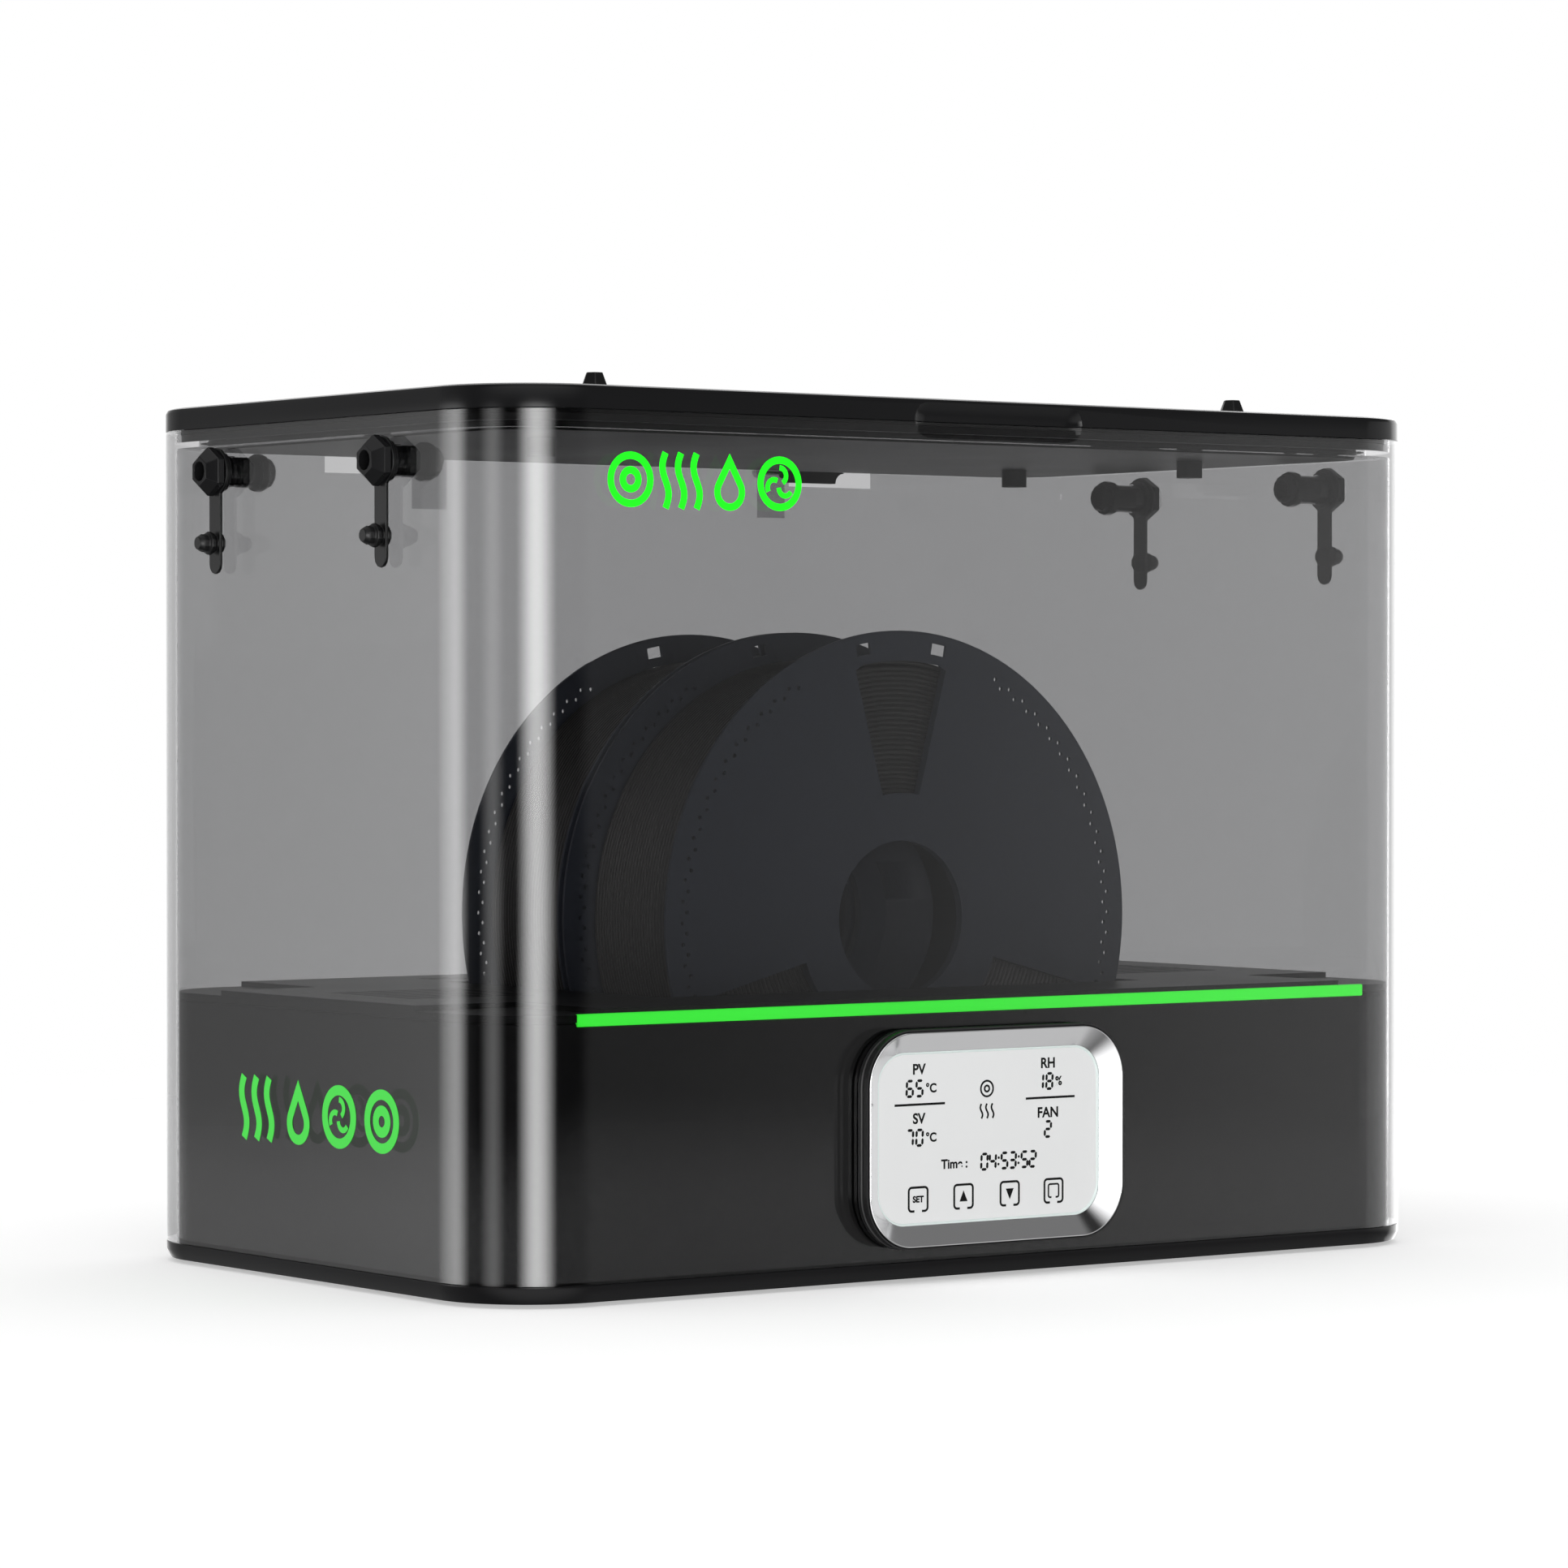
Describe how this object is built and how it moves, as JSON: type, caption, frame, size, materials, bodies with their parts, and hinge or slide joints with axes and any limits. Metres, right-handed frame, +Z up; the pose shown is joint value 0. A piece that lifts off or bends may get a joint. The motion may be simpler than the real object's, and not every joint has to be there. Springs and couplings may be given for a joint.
{
  "type": "filament dryer box",
  "caption": "Heated filament dryer box: smoked clear sleeve on a black base with a front display, spools on rollers inside, strap-plugged filament outlets and a rear-hinged lid.",
  "frame": {"origin": "middle of the footprint, on the surface that the feet stand on", "axes": "+X to the right seen from the display side, +Y to the back, +Z up"},
  "size_m": [0.4274, 0.2482, 0.304],
  "materials": {
    "black_plastic": "fine moulded grain",
    "smoked_clear": "clear, smoked, polished",
    "silicone": "soft matte",
    "silver_bezel": "brushed satin",
    "screen_white": "lit panel",
    "green_light": "lit bar",
    "axle_steel": "ground",
    "heater_fins": "bare fins",
    "board_green": "solder mask",
    "spool_plastic": "sparkling grain",
    "filament": "wound strand"
  },
  "bodies": {
    "base": {"base_tray": "black_plastic", "lower_housing": "black_plastic", "deck_panel": "black_plastic", "display_housing": "black_plastic", "power_inlet": "black_plastic", "outer_shell": "smoked_clear", "display_bezel": "silver_bezel", "display_screen": "screen_white", "light_strip": "green_light", "control_board": "board_green", "power_board": "board_green", "humidity_sensor": "board_green", "air_grille_left": "black_plastic", "air_duct_left": "black_plastic", "fan_frame_left": "black_plastic", "hinge_bracket_left": "black_plastic", "heater_block_left": "heater_fins", "roller_axle_left": "axle_steel", "hinge_pin_left": "axle_steel", "foot_front_left": "silicone", "outlet_front_left": "black_plastic", "foot_rear_left": "silicone", "outlet_rear_left": "black_plastic", "air_grille_right": "black_plastic", "air_duct_right": "black_plastic", "fan_frame_right": "black_plastic", "hinge_bracket_right": "black_plastic", "heater_block_right": "heater_fins", "roller_axle_right": "axle_steel", "hinge_pin_right": "axle_steel", "foot_front_right": "silicone", "outlet_front_right": "black_plastic", "foot_rear_right": "silicone", "outlet_rear_right": "black_plastic"},
    "lid": {"lid_cover": "black_plastic", "lid_liner": "black_plastic", "lid_seal": "silicone", "lid_stud_left": "silicone", "lid_stud_right": "silicone", "hinge_arm_left": "black_plastic", "hinge_arm_right": "black_plastic"},
    "spool_front": {"spool_front_half_outer": "spool_plastic", "spool_front_half_inner": "spool_plastic", "spool_front_wound_core": "filament", "spool_front_filament": "filament"},
    "spool_rear": {"spool_rear_half_outer": "spool_plastic", "spool_rear_half_inner": "spool_plastic", "spool_rear_wound_core": "filament", "spool_rear_filament": "filament"},
    "roller_front_left": {"roller_front_left": "black_plastic"},
    "roller_front_right": {"roller_front_right": "black_plastic"},
    "roller_rear_left": {"roller_rear_left": "black_plastic"},
    "roller_rear_right": {"roller_rear_right": "black_plastic"},
    "fan_left": {"fan_rotor_left": "black_plastic"},
    "fan_right": {"fan_rotor_right": "black_plastic"},
    "strap_plug_front_left": {"strap_plug_front_left": "silicone"},
    "strap_plug_front_right": {"strap_plug_front_right": "silicone"},
    "strap_plug_rear_left": {"strap_plug_rear_left": "silicone"},
    "strap_plug_rear_right": {"strap_plug_rear_right": "silicone"}
  },
  "joints": [
    {"name": "lid_hinge", "type": "hinge", "parent": "base", "child": "lid", "pos_m": [0, 0.1214, 0.284], "axis": [-1, 0, 0], "range_deg": [0, 100]},
    {"name": "spool_front_spin", "type": "hinge", "parent": "base", "child": "spool_front", "pos_m": [0, -0.0323, 0.1201], "axis": [0, 1, 0], "continuous": true},
    {"name": "roller_front_left_spin", "type": "hinge", "parent": "base", "child": "roller_front_left", "pos_m": [-0.0569, -0.03185, 0.02913], "axis": [0, 1, 0], "continuous": true},
    {"name": "roller_front_right_spin", "type": "hinge", "parent": "base", "child": "roller_front_right", "pos_m": [0.0569, -0.03185, 0.02913], "axis": [0, 1, 0], "continuous": true},
    {"name": "spool_rear_spin", "type": "hinge", "parent": "base", "child": "spool_rear", "pos_m": [0, 0.0323, 0.1201], "axis": [0, 1, 0], "continuous": true},
    {"name": "roller_rear_left_spin", "type": "hinge", "parent": "base", "child": "roller_rear_left", "pos_m": [-0.0569, 0.03185, 0.02913], "axis": [0, 1, 0], "continuous": true},
    {"name": "roller_rear_right_spin", "type": "hinge", "parent": "base", "child": "roller_rear_right", "pos_m": [0.0569, 0.03185, 0.02913], "axis": [0, 1, 0], "continuous": true},
    {"name": "fan_left_spin", "type": "hinge", "parent": "base", "child": "fan_left", "pos_m": [-0.152, 0, 0.016], "axis": [0, 0, 1], "continuous": true},
    {"name": "fan_right_spin", "type": "hinge", "parent": "base", "child": "fan_right", "pos_m": [0.152, 0, 0.016], "axis": [0, 0, 1], "continuous": true},
    {"name": "strap_plug_front_left_swing", "type": "hinge", "parent": "base", "child": "strap_plug_front_left", "pos_m": [-0.2035, -0.053, 0.274], "axis": [1, 0, 0], "range_deg": [-120, 120]},
    {"name": "strap_plug_front_right_swing", "type": "hinge", "parent": "base", "child": "strap_plug_front_right", "pos_m": [0.2035, -0.053, 0.274], "axis": [1, 0, 0], "range_deg": [-120, 120]},
    {"name": "strap_plug_rear_left_swing", "type": "hinge", "parent": "base", "child": "strap_plug_rear_left", "pos_m": [-0.2035, 0.053, 0.274], "axis": [1, 0, 0], "range_deg": [-120, 120]},
    {"name": "strap_plug_rear_right_swing", "type": "hinge", "parent": "base", "child": "strap_plug_rear_right", "pos_m": [0.2035, 0.053, 0.274], "axis": [1, 0, 0], "range_deg": [-120, 120]}
  ],
  "couplings": [
    {"joint": "roller_front_left_spin", "follows": "spool_front_spin", "ratio": -14.286},
    {"joint": "roller_front_right_spin", "follows": "spool_front_spin", "ratio": -14.286},
    {"joint": "roller_rear_left_spin", "follows": "spool_rear_spin", "ratio": -14.286},
    {"joint": "roller_rear_right_spin", "follows": "spool_rear_spin", "ratio": -14.286}
  ]
}
